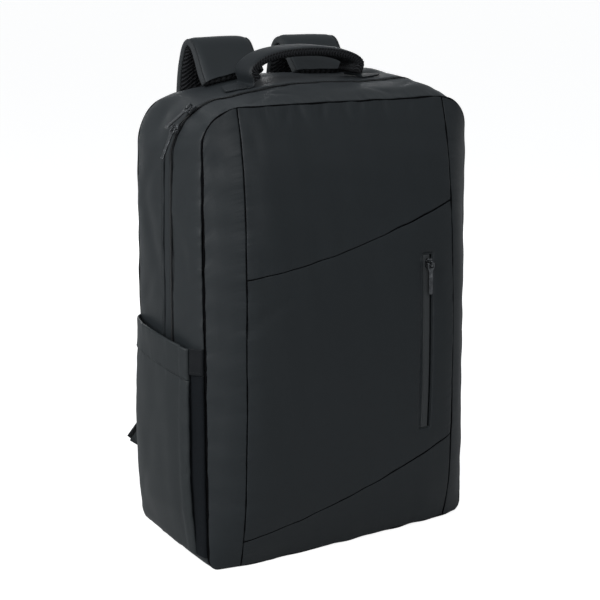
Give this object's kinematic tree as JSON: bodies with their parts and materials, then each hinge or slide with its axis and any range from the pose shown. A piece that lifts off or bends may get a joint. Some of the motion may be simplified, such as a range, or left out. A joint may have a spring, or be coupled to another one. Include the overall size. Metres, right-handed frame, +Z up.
{
  "type": "laptop backpack",
  "caption": "Boxy padded laptop backpack with slanted front seams, an upright front zip pocket, side pockets, a top handle and two shoulder straps.",
  "frame": {"origin": "middle of the base, on the surface that the bag stands on", "axes": "+Z up, -Y out of the front, +X to the right seen from the front, the shoulder straps at +Y"},
  "size_m": [0.3438, 0.212, 0.4958],
  "materials": {
    "shell_cloth": "coated satin",
    "side_cloth": "coated satin",
    "pocket_cloth": "coated satin",
    "web_cloth": "stretch cloth",
    "back_cloth": "woven",
    "air_mesh": "ribbed mesh",
    "zip_tape": "woven tape",
    "zip_coil": "satin",
    "webbing": "woven webbing",
    "adjuster_plastic": "satin",
    "pull_metal": "gunmetal, satin"
  },
  "bodies": {
    "bag": {"base_gusset": "side_cloth", "front_top_gusset": "side_cloth", "rear_top_gusset": "side_cloth", "main_zip_tape": "zip_tape", "main_zip_coil": "zip_coil", "front_strip_left": "shell_cloth", "front_strip_right": "shell_cloth", "front_panel_upper": "shell_cloth", "front_panel_middle": "shell_cloth", "front_panel_lower": "shell_cloth", "front_zip_frame": "zip_tape", "front_zip_lip": "shell_cloth", "front_zip_coil": "zip_coil", "front_zip_tape": "zip_tape", "front_zip_slider": "pull_metal", "main_zip_upper_slider": "pull_metal", "main_zip_lower_slider": "pull_metal", "back_panel": "back_cloth", "back_pad_left": "air_mesh", "back_pad_right": "air_mesh", "pocket_left": "pocket_cloth", "pocket_hem_left": "pocket_cloth", "pocket_web_left": "web_cloth", "pocket_web_hem_left": "web_cloth", "pocket_right": "pocket_cloth", "pocket_hem_right": "pocket_cloth", "pocket_web_right": "web_cloth", "pocket_web_hem_right": "web_cloth", "handle_cover": "shell_cloth", "handle_pad": "air_mesh", "strap_cover_left": "shell_cloth", "strap_pad_left": "air_mesh", "strap_cover_right": "shell_cloth", "strap_pad_right": "air_mesh", "adjuster_left": "adjuster_plastic", "adjuster_right": "adjuster_plastic", "webbing_left": "webbing", "webbing_right": "webbing", "side_tab_left": "pocket_cloth", "side_tab_right": "pocket_cloth"},
    "front_pull": {"front_zip_pull": "pull_metal"},
    "upper_pull": {"main_zip_upper_pull": "pull_metal"},
    "lower_pull": {"main_zip_lower_pull": "pull_metal"}
  },
  "joints": [
    {"name": "front_pull_swing", "type": "hinge", "parent": "bag", "child": "front_pull", "pos_m": [0.08569, -0.09761, 0.2785], "axis": [-1, 0, 0], "range_deg": [0, 150]},
    {"name": "upper_pull_swing", "type": "hinge", "parent": "bag", "child": "upper_pull", "pos_m": [-0.13697, -0.0135, 0.43708], "axis": [0, 1, 0], "range_deg": [0, 150]},
    {"name": "lower_pull_swing", "type": "hinge", "parent": "bag", "child": "lower_pull", "pos_m": [-0.15413, -0.0135, 0.41889], "axis": [0, 1, 0], "range_deg": [0, 50]}
  ]
}
